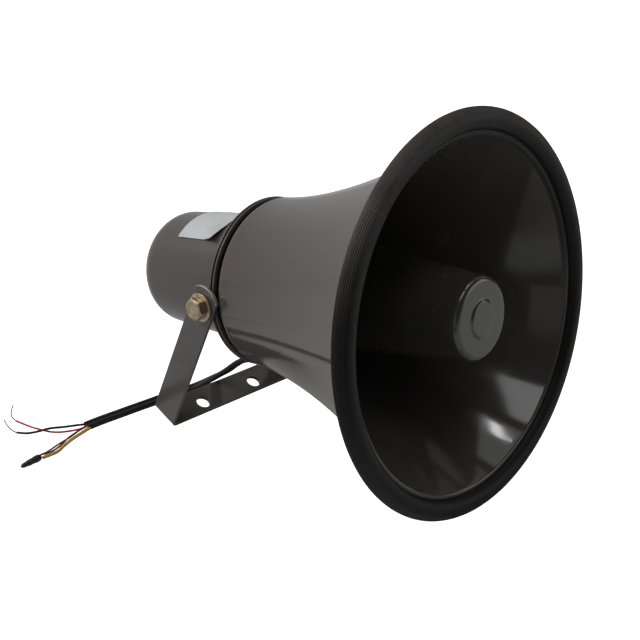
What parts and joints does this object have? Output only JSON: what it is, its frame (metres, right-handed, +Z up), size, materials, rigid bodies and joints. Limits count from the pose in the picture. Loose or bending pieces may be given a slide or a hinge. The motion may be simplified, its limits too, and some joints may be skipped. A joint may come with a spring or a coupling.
{
  "type": "pa horn speaker",
  "caption": "Reflex horn loudspeaker with a flared bell, rubber mouth trim, inner reflector, rear driver cover and a tilting strap bracket.",
  "frame": {"origin": "On the floor, under the middle of the speaker and bracket without the cables.", "axes": "X runs across the mouth along the bracket's bolts, the mouth faces -Y and a little up, and Z is up."},
  "size_m": [0.2456, 0.2781, 0.2048],
  "materials": {
    "shell_paint": "smooth warm grey paint",
    "cast_paint": "grey paint over a casting",
    "nose_moulding": "satin grey moulding",
    "trim_rubber": "matt black ribbed rubber",
    "gasket": "matt black",
    "strap_paint": "grey paint on steel strap",
    "yellow_zinc": "yellow zinc plating",
    "bright_zinc": "bright zinc plating",
    "driver_cast": "die-cast, bare",
    "magnet_steel": "plated",
    "ferrite": "dark ceramic",
    "diaphragm_film": "amber film",
    "coil_copper": "enamelled copper",
    "ring_card": "brown laminate",
    "laminations": "varnished steel sheet",
    "winding_tape": "yellow film tape",
    "tag_brass": "tinned brass",
    "label_paper": "pale satin paper",
    "cable_black": "black cable sheath and tape",
    "core_black": "black insulation",
    "core_red": "red insulation",
    "core_green": "green insulation",
    "core_claret": "dark red insulation",
    "core_yellow": "yellow insulation",
    "strand_copper": "bare copper strands"
  },
  "bodies": {
    "speaker": {"horn_bell": "shell_paint", "mouth_trim": "trim_rubber", "reflector": "nose_moulding", "throat_tube": "shell_paint", "horn_base": "cast_paint", "bell_gasket": "gasket", "cover_gasket": "gasket", "driver_cover": "cast_paint", "cover_screw_1": "bright_zinc", "cover_screw_2": "bright_zinc", "cover_screw_3": "bright_zinc", "cover_screw_4": "bright_zinc", "driver_front": "driver_cast", "phase_plug": "driver_cast", "diaphragm_ring": "ring_card", "top_plate": "magnet_steel", "magnet": "ferrite", "yoke": "magnet_steel", "driver_screw_1": "bright_zinc", "driver_screw_2": "bright_zinc", "driver_screw_3": "bright_zinc", "terminal_board": "ring_card", "terminal_tag_1": "tag_brass", "terminal_tag_2": "tag_brass", "terminal_tag_3": "tag_brass", "transformer_core": "laminations", "transformer_winding": "winding_tape", "transformer_clamp": "bright_zinc", "clamp_screw_left": "bright_zinc", "clamp_screw_right": "bright_zinc", "reflector_screw_1": "bright_zinc", "reflector_screw_2": "bright_zinc", "reflector_screw_3": "bright_zinc", "pivot_bolt_left": "yellow_zinc", "pivot_bolt_right": "yellow_zinc", "bolt_washer_left": "yellow_zinc", "bolt_washer_right": "yellow_zinc", "cable_grommet": "trim_rubber", "label": "label_paper", "cable_sheath_a": "cable_black", "cable_sheath_b": "cable_black", "core_black": "core_black", "core_red": "core_red", "core_green": "core_green", "core_claret": "core_claret", "core_yellow": "core_yellow", "strand_black": "strand_copper", "strand_red": "strand_copper", "taped_end": "cable_black"},
    "bracket": {"bracket": "strap_paint"},
    "moving_coil": {"diaphragm": "diaphragm_film", "voice_coil": "coil_copper"}
  },
  "joints": [
    {"name": "bracket_tilt", "type": "hinge", "parent": "speaker", "child": "bracket", "pos_m": [0, 0.03901, 0.08378], "axis": [-1, 0, 0], "range_deg": [0, 70]},
    {"name": "coil_travel", "type": "slide", "parent": "speaker", "child": "moving_coil", "axis": [0, -0.994, 0.1097], "range_m": [-0.0004, 0.0004], "stiffness_N_per_m": 1500}
  ]
}
